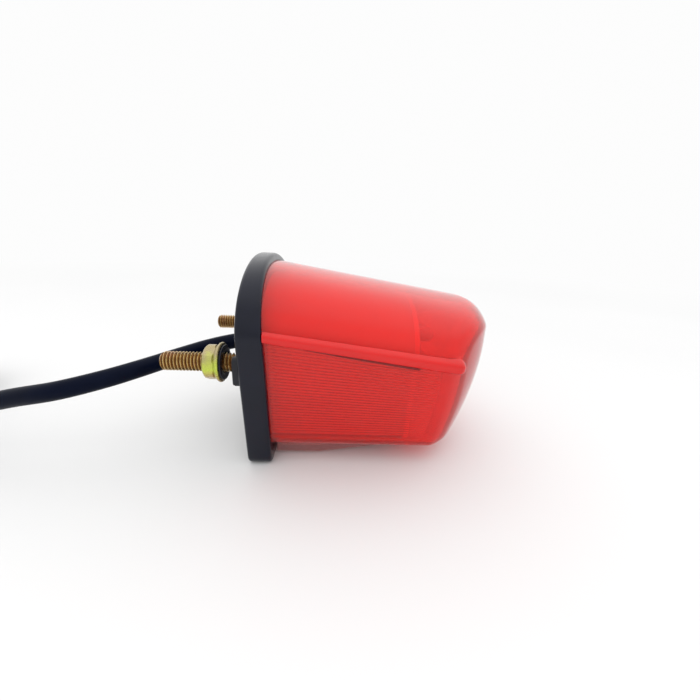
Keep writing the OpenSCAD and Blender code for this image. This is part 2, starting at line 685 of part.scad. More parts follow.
module plug_boot() {
    color([0.1, 0.1, 0.1]) translate(plug_back - [fit_gap, 0, 0]) rotate([0, -90, 0]) difference() {
        union() {
            cylinder(r1 = cable_d / 2 + 0.5, r2 = boot_r, h = boot_l - 2);
            translate([0, 0, boot_l - 2.01]) cylinder(r = boot_r, h = 2.01);
        }
        for (z = [1.6 : 1.8 : boot_l - 3]) translate([0, 0, z]) rotate_extrude()
            translate([boot_r + 0.3, 0]) circle(r = 0.9, $fn = 24);
    }
}

module plug_housing() {
    front = plug_x - boot_l - 2 * fit_gap;
    color([0.88, 0.88, 0.85]) difference() {
        union() {
            translate([front - plug_l, plug_y - plug_w / 2, floor_z]) cube([plug_l, plug_w, plug_h]);
            translate([front - plug_l + 3, plug_y - 2.5, plug_z + plug_h / 2 - 0.01])
                cube([plug_l - 6, 5, 1.2]);
        }
        translate([front - plug_l - 1, plug_y - plug_w / 2 + 1.2, floor_z + 1.2])
            cube([plug_l - 5, plug_w - 2.4, plug_h - 2.4]);
        for (y = [-1, 0, 1]) translate([front + 1, plug_y + 4 * y, plug_z]) rotate([0, -90, 0])
            cylinder(r = 0.75, h = plug_l);
    }
}

module plug_pins() {
    front = plug_x - boot_l - 2 * fit_gap;
    color([0.8, 0.65, 0.3]) for (y = [-1, 0, 1])
        translate([front - 1, plug_y + 4 * y, plug_z]) rotate([0, -90, 0]) {
            cylinder(r = 0.75 - fit_gap, h = plug_l - 4);
            translate([0, 0, plug_l - 4]) cylinder(r1 = 0.73, r2 = 0.3, h = 1);
        }
}

lens();
plate_window();
base_gasket();
base_plate();
left_stud();
right_stud();
left_nut();
right_nut();
left_washer();
right_washer();
led_carrier();
main_board();
tail_leds();
resistors();
polarity_diode();
board_screws();
plate_board();
plate_leds();
plate_board_screws();
carrier_screws();
tail_lead();
stop_lead();
earth_lead();
plate_jumpers();
cable_grommet();
cable();
cable_coil();
cable_tie();
plug_boot();
plug_housing();
plug_pins();
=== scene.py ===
import json
import math

import bmesh
import bpy
import numpy as np
from mathutils import Matrix, Vector


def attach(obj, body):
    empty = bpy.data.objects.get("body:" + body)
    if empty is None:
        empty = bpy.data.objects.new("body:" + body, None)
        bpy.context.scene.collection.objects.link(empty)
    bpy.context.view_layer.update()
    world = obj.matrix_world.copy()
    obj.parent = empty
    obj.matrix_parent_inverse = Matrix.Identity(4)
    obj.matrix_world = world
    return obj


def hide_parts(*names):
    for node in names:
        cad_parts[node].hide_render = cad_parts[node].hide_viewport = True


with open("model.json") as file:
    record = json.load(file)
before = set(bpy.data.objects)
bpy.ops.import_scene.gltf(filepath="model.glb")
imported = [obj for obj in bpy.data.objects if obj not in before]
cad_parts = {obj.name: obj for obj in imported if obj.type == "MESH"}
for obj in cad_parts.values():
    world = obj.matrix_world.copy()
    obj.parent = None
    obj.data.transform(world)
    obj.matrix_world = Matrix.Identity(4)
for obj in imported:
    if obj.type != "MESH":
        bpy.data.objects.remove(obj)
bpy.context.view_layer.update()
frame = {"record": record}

MM = 0.001
LAMP = "lamp"

# Sizes in millimetres, and ratios. The main forms have the sizes of the part's source
GASKET_T, GASKET_FALL, FALL_POWER = 7.7, 2.2, 5
BASE_HALF, SHOULDER, ARCH_TOP, FOOT = 35.7, 8.6, 31.4, -34.8
LEAN = 0.16
LEAN_A = math.atan(LEAN)
ARCH_POWER = 2.06
LENS_X, LENS_LEN, WALL = 4.9, 81.0, 2.2
LENS_HALF, LENS_SHOULDER = BASE_HALF - 1.5, SHOULDER + 2.5
LENS_TOP, LENS_BOTTOM = ARCH_TOP - 2.3, FOOT + 6.8
HALF_TAPER, SHOULDER_FALL, TOP_FALL = 0.012, 0.132, 0.152
NOSE_R, NOSE_RAKE, RAKE_POWER, BROW = 32.6, 0.23, 1.8, SHOULDER - 3.3
TOP_EDGE_R, SIDE_EDGE_R, BOTTOM_EDGE_R = 8.9, 3.5, 5.0
TOP_EDGE_FROM, TOP_EDGE_SPAN, LOW_EDGE_FROM, LOW_EDGE_SPAN = 0.45, 0.5, 0.6, 0.35
BASE_CORNER, LENS_CORNER, LEAST_CORNER = 4, 4.5, 0.8
CENTRE_Z = -4.0
BEAD_R, BEAD_GROW, BEAD_SINK, BEAD_ROOT_DROP = 1.8, 0.5, 0.3, 3
CARRIER_FRONT, CARRIER_INSET = 52.0, WALL + 1.4
FLUTE_N, FLUTE_H = 29, 0.52
STUD_Y, STUD_FREE, STUD_R = 26.0, 24.4, 2.93
THREAD_PITCH, THREAD_DEPTH = 1.0, 0.58
WINDOW_X0, WINDOW_X1, WINDOW_EDGE = 8.6, 51.5, 1.4
CABLE_R = 2.75


def place_object(name, data):
    """Object in the scene, from the data of a mesh, curve, camera or lamp."""
    thing = bpy.data.objects.new(name, data)
    bpy.context.scene.collection.objects.link(thing)
    return thing


# Camera, solved from both studs, the gasket's outline and the lens's edges

PHOTO_PX = 700
FOCAL_PX = 345
SENSOR_MM = 36.0
CAMERA_AT = (27.59 * MM, -125.62 * MM, 37.05 * MM)
CAMERA_YAW, CAMERA_PITCH, CAMERA_ROLL = (math.radians(a) for a in (2.488, 17.819, 2.415))
NEAREST_SEEN = 0.005

camera_data = bpy.data.cameras.new("camera")
camera_data.sensor_width = SENSOR_MM
camera_data.lens = FOCAL_PX / PHOTO_PX * SENSOR_MM
camera_data.clip_start = NEAREST_SEEN
camera = place_object("camera", camera_data)
to_camera = (
    Matrix.Rotation(CAMERA_ROLL, 3, "Y")
    @ Matrix.Rotation(CAMERA_PITCH, 3, "X")
    @ Matrix.Rotation(CAMERA_YAW, 3, "Z")
)
look = to_camera.transposed() @ Matrix.Rotation(math.radians(90), 3, "X")
camera.matrix_world = Matrix.Translation(CAMERA_AT) @ look.to_4x4()
bpy.context.scene.camera = camera


# Node helpers

def new_material(name):
    material = bpy.data.materials.new(name)
    material.use_nodes = True
    tree = material.node_tree
    return material, tree, tree.nodes["Principled BSDF"]


def texture_place(tree):
    return tree.nodes.new("ShaderNodeTexCoord").outputs["Object"]


def feed(tree, node, values):
    """Set a node's inputs in order, from other nodes' outputs or from plain values."""
    for socket, value in zip(node.inputs, values):
        if isinstance(value, bpy.types.NodeSocket):
            tree.links.new(value, socket)
        else:
            socket.default_value = value


def maths(tree, operation, *values):
    node = tree.nodes.new("ShaderNodeMath")
    node.operation = operation
    feed(tree, node, values)
    return node.outputs["Value"]


def vector_maths(tree, operation, *values):
    node = tree.nodes.new("ShaderNodeVectorMath")
    node.operation = operation
    feed(tree, node, values)
    return node.outputs["Value" if operation in ("LENGTH", "DOT_PRODUCT") else "Vector"]


def show_mix(tree, share, first, second, output):
    """Send the output a mix of two shaders, with that share of the second."""
    mix = tree.nodes.new("ShaderNodeMixShader")
    feed(tree, mix, (share, first, second))
    tree.links.new(mix.outputs["Shader"], tree.nodes[output].inputs["Surface"])


NOISE_ROUGHNESS = 0.55


def noise(tree, place, scale, detail=3.0):
    node = tree.nodes.new("ShaderNodeTexNoise")
    node.inputs["Scale"].default_value = scale
    node.inputs["Detail"].default_value = detail
    node.inputs["Roughness"].default_value = NOISE_ROUGHNESS
    tree.links.new(place, node.inputs["Vector"])
    return node.outputs["Fac"]


def ramp(tree, value, stops):
    """Colour that changes with a value, by stops of (value, colour)."""
    node = tree.nodes.new("ShaderNodeValToRGB")
    while len(node.color_ramp.elements) < len(stops):
        node.color_ramp.elements.new(0.5)
    for element, (where, colour) in zip(node.color_ramp.elements, stops):
        element.position = where
        element.color = (*colour, 1)
    tree.links.new(value, node.inputs["Fac"])
    return node.outputs["Color"]


def grey(level):
    return (level, level, level)


def bump(tree, value, strength, distance):
    node = tree.nodes.new("ShaderNodeBump")
    node.inputs["Strength"].default_value = strength
    node.inputs["Distance"].default_value = distance
    tree.links.new(value, node.inputs["Height"])
    return node.outputs["Normal"]


# The noise lies mostly between these levels, so the colours are spread between them
NOISE_LOW, NOISE_HIGH = 0.3, 0.7
MOTTLE_IN_BAND = 0.45
SMEAR_FINER, SMEAR_DETAIL = 2.3, 4.0
COAT_ROUGHNESS = 0.12
GRAIN_SCALE, GRAIN_DETAIL, GRAIN_DEPTH = 2500, 2.0, 0.00004


def surface(name, colours, rough, scale, grain=0.0, metallic=0.0, coat=0.0, specular=0.5,
            painted_light_band=0.0):
    """Material with mottled colour, uneven gloss and a fine grain.

    A band is the height in metres over which the colours also run upwards, which paints light by
    height: a part's top, front and lower faces take the hue and shade the light gives them."""
    material, tree, shader = new_material(name)
    place = texture_place(tree)
    mottle = noise(tree, place, scale)
    if painted_light_band:
        split = tree.nodes.new("ShaderNodeSeparateXYZ")
        tree.links.new(place, split.inputs["Vector"])
        calm = maths(tree, "MULTIPLY_ADD", mottle, MOTTLE_IN_BAND, (1 - MOTTLE_IN_BAND) / 2)
        mottle = maths(tree, "MULTIPLY_ADD", split.outputs["Z"], 0.5 / painted_light_band, calm)
    apart = (NOISE_HIGH - NOISE_LOW) / (len(colours) - 1)
    steps = [(NOISE_LOW + apart * k, colour) for k, colour in enumerate(colours)]
    tree.links.new(ramp(tree, mottle, steps), shader.inputs["Base Color"])
    smear = noise(tree, place, scale * SMEAR_FINER, SMEAR_DETAIL)
    gloss = ramp(tree, smear, [(NOISE_LOW, grey(rough[0])), (NOISE_HIGH, grey(rough[1]))])
    tree.links.new(gloss, shader.inputs["Roughness"])
    shader.inputs["Metallic"].default_value = metallic
    shader.inputs["Coat Weight"].default_value = coat
    shader.inputs["Coat Roughness"].default_value = COAT_ROUGHNESS
    shader.inputs["Specular IOR Level"].default_value = specular
    if grain:
        fine = noise(tree, place, GRAIN_SCALE, GRAIN_DETAIL)
        tree.links.new(bump(tree, fine, grain, GRAIN_DEPTH), shader.inputs["Normal"])
    return material


PLASTIC_IOR = 1.49
TINT_SCALE, TINT_DETAIL = 30.0, 2.0
HAZE_SCALE, HAZE_LOW, HAZE_HIGH, HAZE_RISE = 90.0, 0.35, 0.75, 2.2
RIPPLE_SCALE, RIPPLE_DETAIL, RIPPLE_STRENGTH, RIPPLE_DEPTH = 45.0, 1.0, 0.06, 0.0006


def clear_plastic(name, tints, lamp_tint, clear, rough):
    """Tinted plastic, partly clear and partly milky, that lets lamp light through."""
    material, tree, shader = new_material(name)
    place = texture_place(tree)
    mottle = noise(tree, place, TINT_SCALE, TINT_DETAIL)
    tree.links.new(ramp(tree, mottle, [(NOISE_LOW, tints[0]), (NOISE_HIGH, tints[1])]),
                   shader.inputs["Base Color"])
    shader.inputs["Transmission Weight"].default_value = clear
    shader.inputs["IOR"].default_value = PLASTIC_IOR
    haze = noise(tree, place, HAZE_SCALE)
    gloss = ramp(tree, haze, [(HAZE_LOW, grey(rough)), (HAZE_HIGH, grey(rough * HAZE_RISE))])
    tree.links.new(gloss, shader.inputs["Roughness"])
    ripple = noise(tree, place, RIPPLE_SCALE, RIPPLE_DETAIL)
    tree.links.new(bump(tree, ripple, RIPPLE_STRENGTH, RIPPLE_DEPTH), shader.inputs["Normal"])
    through = tree.nodes.new("ShaderNodeBsdfTransparent")
    through.inputs["Color"].default_value = (*lamp_tint, 1)
    path = tree.nodes.new("ShaderNodeLightPath")
    show_mix(tree, path.outputs["Is Shadow Ray"], shader.outputs["BSDF"],
             through.outputs["BSDF"], "Material Output")
    return material


MATERIALS = {
    "red_lens": clear_plastic("red_lens", ((0.8, 0.012, 0.001), (0.84, 0.015, 0.002)),
                              (1.0, 0.05, 0.02), 0.8, 0.035),
    "red_bead": clear_plastic("red_bead", ((0.6, 0.004, 0.003), (0.68, 0.006, 0.004)),
                              (0.6, 0.01, 0.01), 0.2, 0.04),
    # Dark red of the rod under the bead: painted shadow
    "painted_shadow_red": clear_plastic("painted_shadow_red", ((0.1, 0.001, 0.001), (0.16, 0.002, 0.002)),
                              (0.3, 0.01, 0.01), 0.1, 0.08),
    # Reddish and darker than clear plastic: painted red light and shade from the lens round the
    # window
    "clear_window": clear_plastic("clear_window", ((0.6, 0.3, 0.29), (0.68, 0.36, 0.35)),
                                  (0.85, 0.7, 0.68), 0.75, 0.08),
    "black_rubber": surface("black_rubber", [(0.0015, 0.0025, 0.009), (0.003, 0.004, 0.013)],
                            (0.15, 0.26), 120, grain=0.15, specular=0.3),
    "black_plastic": surface("black_plastic", [(0.005, 0.006, 0.011), (0.008, 0.009, 0.015)],
                             (0.42, 0.55), 150, grain=0.3, specular=0.4),
    "black_sheath": surface("black_sheath", [(0.001, 0.0025, 0.01), (0.002, 0.004, 0.014)],
                            (0.34, 0.46), 200, grain=0.12, specular=0.06),
    "gold_zinc": surface("gold_zinc", [(0.43, 0.26, 0.09), (0.54, 0.38, 0.16), (0.49, 0.29, 0.16)],
                         (0.16, 0.28), 260, grain=0.1, metallic=0.8),
    # The plating's own hues, run by height so the nut's top, front and lower facets show the hue and
    # shade that light gives them: painted light
    "yellow_zinc": surface("yellow_zinc", [(0.52, 0.37, 0.19), (0.49, 0.44, 0.11), (0.5, 0.59, 0.08),
                                           (0.47, 0.5, 0.1), (0.4, 0.33, 0.17)],
                           (0.2, 0.32), 210, grain=0.1, metallic=0.65, painted_light_band=0.011),
    "white_plastic": surface("white_plastic", [(0.95, 0.95, 0.93), (0.98, 0.98, 0.96)],
                             (0.3, 0.4), 80, grain=0.05),
    "board_green": surface("board_green", [(0.015, 0.12, 0.04), (0.025, 0.17, 0.06)],
                           (0.25, 0.35), 300, coat=0.3),
    "red_led": surface("red_led", [(0.6, 0.03, 0.02), (0.75, 0.07, 0.05)],
                       (0.1, 0.18), 220, coat=0.6),
    "white_led": surface("white_led", [(0.85, 0.84, 0.74), (0.92, 0.9, 0.8)],
                         (0.1, 0.18), 220, coat=0.6),
    "chip_black": surface("chip_black", [(0.015, 0.015, 0.016), (0.025, 0.025, 0.026)],
                          (0.4, 0.5), 400, grain=0.2),
    "bright_zinc": surface("bright_zinc", [(0.84, 0.85, 0.87), (0.92, 0.93, 0.94)],
                           (0.34, 0.46), 240, metallic=0.2),
    "brown_sheath": surface("brown_sheath", [(0.12, 0.04, 0.015), (0.17, 0.06, 0.02)],
                            (0.3, 0.4), 200),
    "red_sheath": surface("red_sheath", [(0.5, 0.015, 0.012), (0.62, 0.025, 0.02)],
                          (0.3, 0.4), 200),
    "plug_plastic": surface("plug_plastic", [(0.58, 0.57, 0.5), (0.66, 0.65, 0.58)],
                            (0.35, 0.48), 110, grain=0.15),
    "brass_pin": surface("brass_pin", [(0.75, 0.55, 0.22), (0.83, 0.64, 0.3)],
                         (0.2, 0.3), 240, metallic=1.0),
}

# Painted shade in the thread roots: colour factors by share of the stud's radius
ROOT_PAINTED_SHADES = [(0.8, (0.2, 0.12, 0.07)), (0.86, (0.6, 0.46, 0.34)), (0.94, (1.0, 1.0, 1.0))]


def paint_shade_in_roots(material):
    """Painted shade: thread roots darker than the crests, by their distance from the stud's axis."""
    tree = material.node_tree
    shader = tree.nodes["Principled BSDF"]
    plain = shader.inputs["Base Color"].links[0].from_socket
    either_side = vector_maths(tree, "ABSOLUTE", texture_place(tree))
    from_axis = vector_maths(tree, "SUBTRACT", either_side, (0, STUD_Y * MM, 0))
    across = vector_maths(tree, "MULTIPLY", from_axis, (0, 1 / STUD_R / MM, 1 / STUD_R / MM))
    shade = ramp(tree, vector_maths(tree, "LENGTH", across), ROOT_PAINTED_SHADES)
    mix = tree.nodes.new("ShaderNodeMix")
    mix.data_type = "RGBA"
    mix.blend_type = "MULTIPLY"
    mix.inputs[0].default_value = 1.0
    tree.links.new(plain, mix.inputs[6])
    tree.links.new(shade, mix.inputs[7])
    tree.links.new(mix.outputs[2], shader.inputs["Base Color"])


paint_shade_in_roots(MATERIALS["gold_zinc"])

# Each solid of the frame takes the material of its slot
SLOT_OF = {row["node"]: row["material_slot"] for row in frame["record"]["subparts"]}
for node_name, slot_name in SLOT_OF.items():
    for slot in bpy.data.objects[node_name].material_slots:
        slot.material = MATERIALS[slot_name]


# Mesh helpers

def smooth_but_edges(mesh, sharp):
    """Smooth shading, except over edges sharper than this many degrees."""
    mesh.shade_smooth()
    mesh.set_sharp_from_angle(angle=math.radians(sharp))


def make_piece(name, points, faces, slot_name, body, sharp=40.0):
    """Object from points in millimetres, with outward faces and smooth shading."""
    mesh = bpy.data.meshes.new(name)
    mesh.from_pydata((np.asarray(points, dtype=float) * MM).tolist(), [], faces)
    work = bmesh.new()
    work.from_mesh(mesh)
    bmesh.ops.remove_doubles(work, verts=work.verts, dist=1e-7)
    bmesh.ops.recalc_face_normals(work, faces=work.faces)
    work.to_mesh(mesh)
    work.free()
    smooth_but_edges(mesh, sharp)
    mesh.materials.append(MATERIALS[slot_name])
    piece = place_object(name, mesh)
    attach(piece, body)
    return piece


def grid_faces(rows, n, loop=False):
    """Quads between rings of n points."""
    last = rows if loop else rows - 1
    return [
        (i * n + k, ((i + 1) % rows) * n + k, ((i + 1) % rows) * n + (k + 1) % n, i * n + (k + 1) % n)
        for i in range(last)
        for k in range(n)
    ]


def shares(n):
    """The n even steps up to 1, without 0."""
    return [k / n for k in range(1, n + 1)]


def flattened(rings):
    return [point for ring in rings for point in ring]


def tube_faces(rows, n):
    """Quads between rings of n points, and a face over each end."""
    first = tuple(range(n))
    last = tuple(range((rows - 1) * n, rows * n))
    return grid_faces(rows, n) + [first, last[::-1]]


# Outline of the base and the lens: foot, corner, leaning side, arch

# A form is half width, shoulder, top, bottom and corner radius. A mark is side, stretch and share

def half_marks(foot_n, corner_n, side_places, arch_places):
    """Marks of one half, from the middle of the foot to the top of the arch."""
    marks = [(0, k / foot_n) for k in range(foot_n)]
    marks += [(1, k / corner_n) for k in range(corner_n + 1)]
    marks += [(2, k) for k in side_places]
    marks += [(3, k) for k in arch_places]
    return marks


def both_sides(marks):
    return [(1, s, k) for s, k in marks] + [(-1, s, k) for s, k in marks[-2:0:-1]]


def corner_y(form):
    """Where the flat foot ends and its corner begins."""
    half, shoulder, _, bottom, corner = form
    return half - LEAN * (shoulder - bottom - corner) - corner / math.cos(LEAN_A)


def right_spot(stretch, k, form):
    """Point of the right half, at a share k of its foot, corner, side or arch."""
    half, shoulder, top, bottom, corner = form
    if stretch == 0:
        return k * corner_y(form), bottom
    if stretch == 1:
        a = math.radians(-90) + k * (math.radians(90) - LEAN_A)
        return corner_y(form) + corner * math.cos(a), bottom + corner + corner * math.sin(a)
    if stretch == 2:
        y0 = corner_y(form) + corner * math.cos(LEAN_A)
        z0 = bottom + corner - corner * math.sin(LEAN_A)
        return y0 + k * (half - y0), z0 + k * (shoulder - z0)
    a = math.radians(90) * k
    y = half * max(math.cos(a), 0) ** (2 / ARCH_POWER)
    return y, shoulder + (top - shoulder) * math.sin(a) ** (2 / ARCH_POWER)


def spot(mark, form):
    y, z = right_spot(mark[1], mark[2], form)
    return mark[0] * y, z


def gasket_form(inset):
    return (BASE_HALF - inset, SHOULDER, ARCH_TOP - inset, FOOT + inset,
            max(BASE_CORNER - inset, LEAST_CORNER))


def lens_form(x, inset):
    run = x - LENS_X
    return (LENS_HALF - HALF_TAPER * run - inset, LENS_SHOULDER - SHOULDER_FALL * run,
            LENS_TOP - TOP_FALL * run - inset, LENS_BOTTOM + inset,
            max(LENS_CORNER - inset, LEAST_CORNER))


def gasket_front(z):
    return GASKET_T - GASKET_FALL * ((z - FOOT) / (ARCH_TOP - FOOT)) ** FALL_POWER


def ease(k):
    k = min(max(k, 0), 1)
    return k * k * (3 - 2 * k)


def nose_x(y, z, inset):
    """Front of the nose, raked below the brow and curved as seen from above."""
    span = BROW - LENS_BOTTOM
    rake = NOSE_RAKE * span * (max(0, BROW - z) / span) ** RAKE_POWER
    return LENS_LEN - inset - rake - y * y / (2 * NOSE_R)


def edge_r(y, z, inset):
    """Radius of the nose's rounded edge, larger on top and at the foot than at the sides."""
    up = (z - CENTRE_Z) / math.hypot(y, z - CENTRE_Z)
    top = (TOP_EDGE_R - SIDE_EDGE_R) * ease((up - TOP_EDGE_FROM) / TOP_EDGE_SPAN)
    low = (BOTTOM_EDGE_R - SIDE_EDGE_R) * ease((-up - LOW_EDGE_FROM) / LOW_EDGE_SPAN)
    return max(1, SIDE_EDGE_R + top + low - inset)


def shrunk(y, z, k):
    """Point drawn in towards the lens's long axis."""
    return k * y, CENTRE_Z + k * (z - CENTRE_Z)


def edge_start(mark, inset):
    """Where the wall turns into the nose's rounded edge, by a guess that is corrected once."""
    far = spot(mark, lens_form(LENS_LEN - NOSE_R / 2, inset))
    r = edge_r(*far, inset)
    near = spot(mark, lens_form(nose_x(*far, inset) - r, inset))
    return nose_x(*near, inset) - r


# Flutes inside the side walls, the bead along the shoulder

# Shares of the side's height between which the flutes lie
FLUTE_LOW, FLUTE_HIGH = 0.03, 0.92
# Where they rise at the back, and how far short of the nose's edge they end
FLUTE_FROM, FLUTE_FROM_RUN = 8.0, 0.6
FLUTE_SHORT, FLUTE_SHORT_RUN = 3.4, 0.8


def flute_height(mark, x, xe):
    _, stretch, k = mark
    if stretch != 2 or not FLUTE_LOW < k < FLUTE_HIGH:
        return 0.0
    run = (k - FLUTE_LOW) / (FLUTE_HIGH - FLUTE_LOW)
    back = ease((x - FLUTE_FROM) / FLUTE_FROM_RUN)
    ends = back * ease((xe - FLUTE_SHORT - x) / FLUTE_SHORT_RUN)
    return FLUTE_H * ends * abs(math.sin(math.pi * FLUTE_N * run))


def lens_skin(marks, back_x, inset, places, edge_n, face_n, outer):
    """Rings of points of one side of the lens wall, from the back to the nose."""
    rings = []
    starts = [edge_start(m, inset) for m in marks]
    for f in places:
        ring = []
        for m, xe in zip(marks, starts):
            x = back_x + f * (xe - back_x)
            form = lens_form(x, inset)
            y, z = spot(m, form)
            if not outer:
                y -= m[0] * flute_height(m, x, xe)
            ring.append((x, y, z))
        rings.append(ring)
    ends = []
    for j in range(1, edge_n + 1):
        a = math.radians(90) * j / edge_n
        ring = []
        for m, xe in zip(marks, starts):
            r = edge_r(*spot(m, lens_form(xe, inset)), inset)
            form = lens_form(xe + r * math.sin(a), inset)
            y, z = spot(m, form)
            q = 1 - r * (1 - math.cos(a)) / math.hypot(y, z - CENTRE_Z)
            qy, qz = shrunk(y, z, q)
            x = xe + (nose_x(qy, qz, inset) - xe) * math.sin(a)
            ring.append((x, qy, qz))
            ends.append((qy, qz))
        rings.append(ring)
    ends = ends[-len(marks):]
    for j in range(1, face_n):
        k = 1 - j / face_n
        ring = []
        for y, z in ends:
            qy, qz = shrunk(y, z, k)
            ring.append((nose_x(qy, qz, inset), qy, qz))
        rings.append(ring)
    return rings


FLUTE_STEPS, ARCH_STEPS = 6, 64
side_places = [k / 3 * FLUTE_LOW for k in range(1, 3)]
side_places += [
    FLUTE_LOW + (FLUTE_HIGH - FLUTE_LOW) * k / (FLUTE_N * FLUTE_STEPS)
    for k in range(FLUTE_N * FLUTE_STEPS + 1)
]
side_places += [0.935, 0.95, 0.975, 1.0]
lens_marks = both_sides(half_marks(8, 8, side_places, shares(ARCH_STEPS)))
# Rings stand closer where the flutes begin and end
wall_places = [0, 0.02, 0.04, 0.05, 0.06, 0.07, 0.08]
wall_places += [0.08 + 0.84 * k / 12 for k in range(1, 13)]
wall_places += [0.93, 0.94, 0.95, 0.96, 0.98, 1.0]

# Section of the bead in its radii, out from the wall and up
BEAD_SECTION = [(-0.9, 0.95), (-0.45, 0.98), (-0.1, 0.86), (0.3, 0.62), (0.66, 0.37), (0.78, 0.22),
                (0.83, 0.0), (0.82, -0.5), (0.76, -0.82), (0.6, -0.96), (0.3, -1.0), (-0.9, -1.0)]
BEAD_DOME_STEPS = 10
# Round section of the rod of painted shadow under the bead
PAINTED_SHADOW_SECTION = [(math.cos(math.radians(a)), math.sin(math.radians(a))) for a in range(0, 360, 30)]
# Places along the painted shadow rod under the bead: x, drop below the shoulder, radius
PAINTED_SHADOW_PLACES = ((10, 2.0, 0.22), (30, 2.5, 0.42), (CARRIER_FRONT, 2.85, 0.55))


def add_lens_materials(piece):
    """The bead's red and the painted shadow rod's dark red after the lens's, in the order of the
    rods' indices.
    """
    for other in ("red_bead", "painted_shadow_red"):
        piece.data.materials.append(MATERIALS[other])


def make_rod(name, side, stations, section, index):
    """Rod along the shoulder through stations (x, sunk, drop, radius), ends closed."""
    points = []
    for x, sunk, drop, r in stations:
        y = LENS_HALF - HALF_TAPER * (x - LENS_X) - sunk
        z = LENS_SHOULDER - SHOULDER_FALL * (x - LENS_X) - drop
        points += [(x, side * (y + r * out), z + r * up) for out, up in section]
    faces = tube_faces(len(stations), len(section))
    rod = make_piece(name, points, faces, "red_lens", LAMP)
    add_lens_materials(rod)
    for face in rod.data.polygons:
        face.material_index = index
    return rod


def make_bead(side):
    """Ridge with a round tip that grows from the gasket to the nose's edge."""
    start = gasket_front(LENS_SHOULDER - BEAD_ROOT_DROP)
    end = LENS_LEN - LENS_HALF ** 2 / (2 * NOSE_R)
    last_r = BEAD_R + BEAD_GROW
    stations = [(start, BEAD_SINK, 0, BEAD_R), (end, BEAD_SINK, 0, last_r)]
    for k in range(1, BEAD_DOME_STEPS):
        a = math.radians(90) * k / BEAD_DOME_STEPS
        stations.append((end + last_r * math.sin(a), BEAD_SINK, 0, last_r * math.cos(a)))
    return make_rod("bead", side, stations, BEAD_SECTION, 1)


def make_painted_shadow_rod(side):
    """Dark red rod under the bead as far as the carrier's front: a painted shadow, standing in for
    the shade under the bead.
    """
    stations = [(x, BEAD_SINK + LEAN * drop, drop, r) for x, drop, r in PAINTED_SHADOW_PLACES]
    return make_rod("painted_shadow_rod", side, stations, PAINTED_SHADOW_SECTION, 2)


def make_lens():
    outer = lens_skin(lens_marks, LENS_X, 0.0, wall_places, 10, 16, True)
    inner = lens_skin(lens_marks, LENS_X, WALL, wall_places, 6, 12, False)
    rings = inner[::-1] + outer
    faces = tube_faces(len(rings), len(lens_marks))
    lens = make_piece("red_lens", flattened(rings), faces, "red_lens", LAMP, sharp=55)
    add_lens_materials(lens)
    half = corner_y(lens_form(WINDOW_X0, 0)) - WINDOW_EDGE
    window = make_box("window_cutter", (WINDOW_X0, -half, FOOT),
                      (WINDOW_X1, half, LENS_BOTTOM + 2 * WALL))
    # The beads, and the rods of painted shadow under them, join the lens; the window is cut out
    tools = [(make(side), "UNION") for side in (-1, 1) for make in (make_bead, make_painted_shadow_rod)]
    tools.append((window, "DIFFERENCE"))
    combine(lens, tools)
    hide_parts("lens")


SHARP_AFTER_CUT = 35


def combine(piece, tools):
    """Add the tools to the piece or cut them out of it."""
    for tool, operation in tools:
        change = piece.modifiers.new(operation, "BOOLEAN")
        change.object = tool
        change.operation = operation
        change.solver = "EXACT"
    apply_modifiers(piece)
    smooth_but_edges(piece.data, SHARP_AFTER_CUT)
    for tool, _ in tools:
        bpy.data.objects.remove(tool)


def make_box(name, low, high):
    mesh = bpy.data.meshes.new(name)
    work = bmesh.new()
    bmesh.ops.create_cube(work, size=1.0)
    for v in work.verts:
        v.co = [MM * (low[k] + (v.co[k] + 0.5) * (high[k] - low[k])) for k in range(3)]
    work.to_mesh(mesh)
    work.free()
    return place_object(name, mesh)


def apply_modifiers(piece):
    graph = bpy.context.evaluated_depsgraph_get()
    mesh = bpy.data.meshes.new_from_object(piece.evaluated_get(graph))
    piece.modifiers.clear()
    old = piece.data
    piece.data = mesh
    bpy.data.meshes.remove(old)


# White carrier behind the lens, with a rim round its front

RIM_DEPTH, RIM_BACK, RIM_INSET_LOW, RIM_INSET_HIGH = 1.6, 0.02, -0.7, 0.3


def make_carrier_rim():
    marks = both_sides(half_marks(4, 4, shares(8), shares(24)))
    back, front = CARRIER_FRONT - RIM_DEPTH, CARRIER_FRONT - RIM_BACK
    section = [(back, RIM_INSET_HIGH), (back, RIM_INSET_LOW),
               (front, RIM_INSET_LOW), (front, RIM_INSET_HIGH)]
    points = []
    for x, deeper in section:
        for m in marks:
            points.append((x, *spot(m, lens_form(x, CARRIER_INSET + deeper))))
    return make_piece("rim", points, grid_faces(len(section), len(marks), loop=True),
                      "white_plastic", LAMP)


def make_carrier():
    carrier = place_object("white_carrier", bpy.data.objects["led_carrier"].data.copy())
    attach(carrier, LAMP)
    combine(carrier, [(make_carrier_rim(), "UNION")])
    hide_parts("led_carrier")


ARC_STEPS = 5


def rounded(corners):
    """Section with each corner (x, inset, radius) turned into an arc of short steps."""
    out = []
    n = len(corners)
    for i, (x, d, r) in enumerate(corners):
        if r == 0:
            out.append((x, d))
            continue
        here = np.array((x, d))
        before = np.array(corners[i - 1][:2]) - here
        after = np.array(corners[(i + 1) % n][:2]) - here
        a = here + r * before / np.linalg.norm(before)
        b = here + r * after / np.linalg.norm(after)
        for k in range(ARC_STEPS + 1):
            t = k / ARC_STEPS
            p = (1 - t) ** 2 * a + 2 * t * (1 - t) * here + t * t * b
            out.append(tuple(p))
    return out


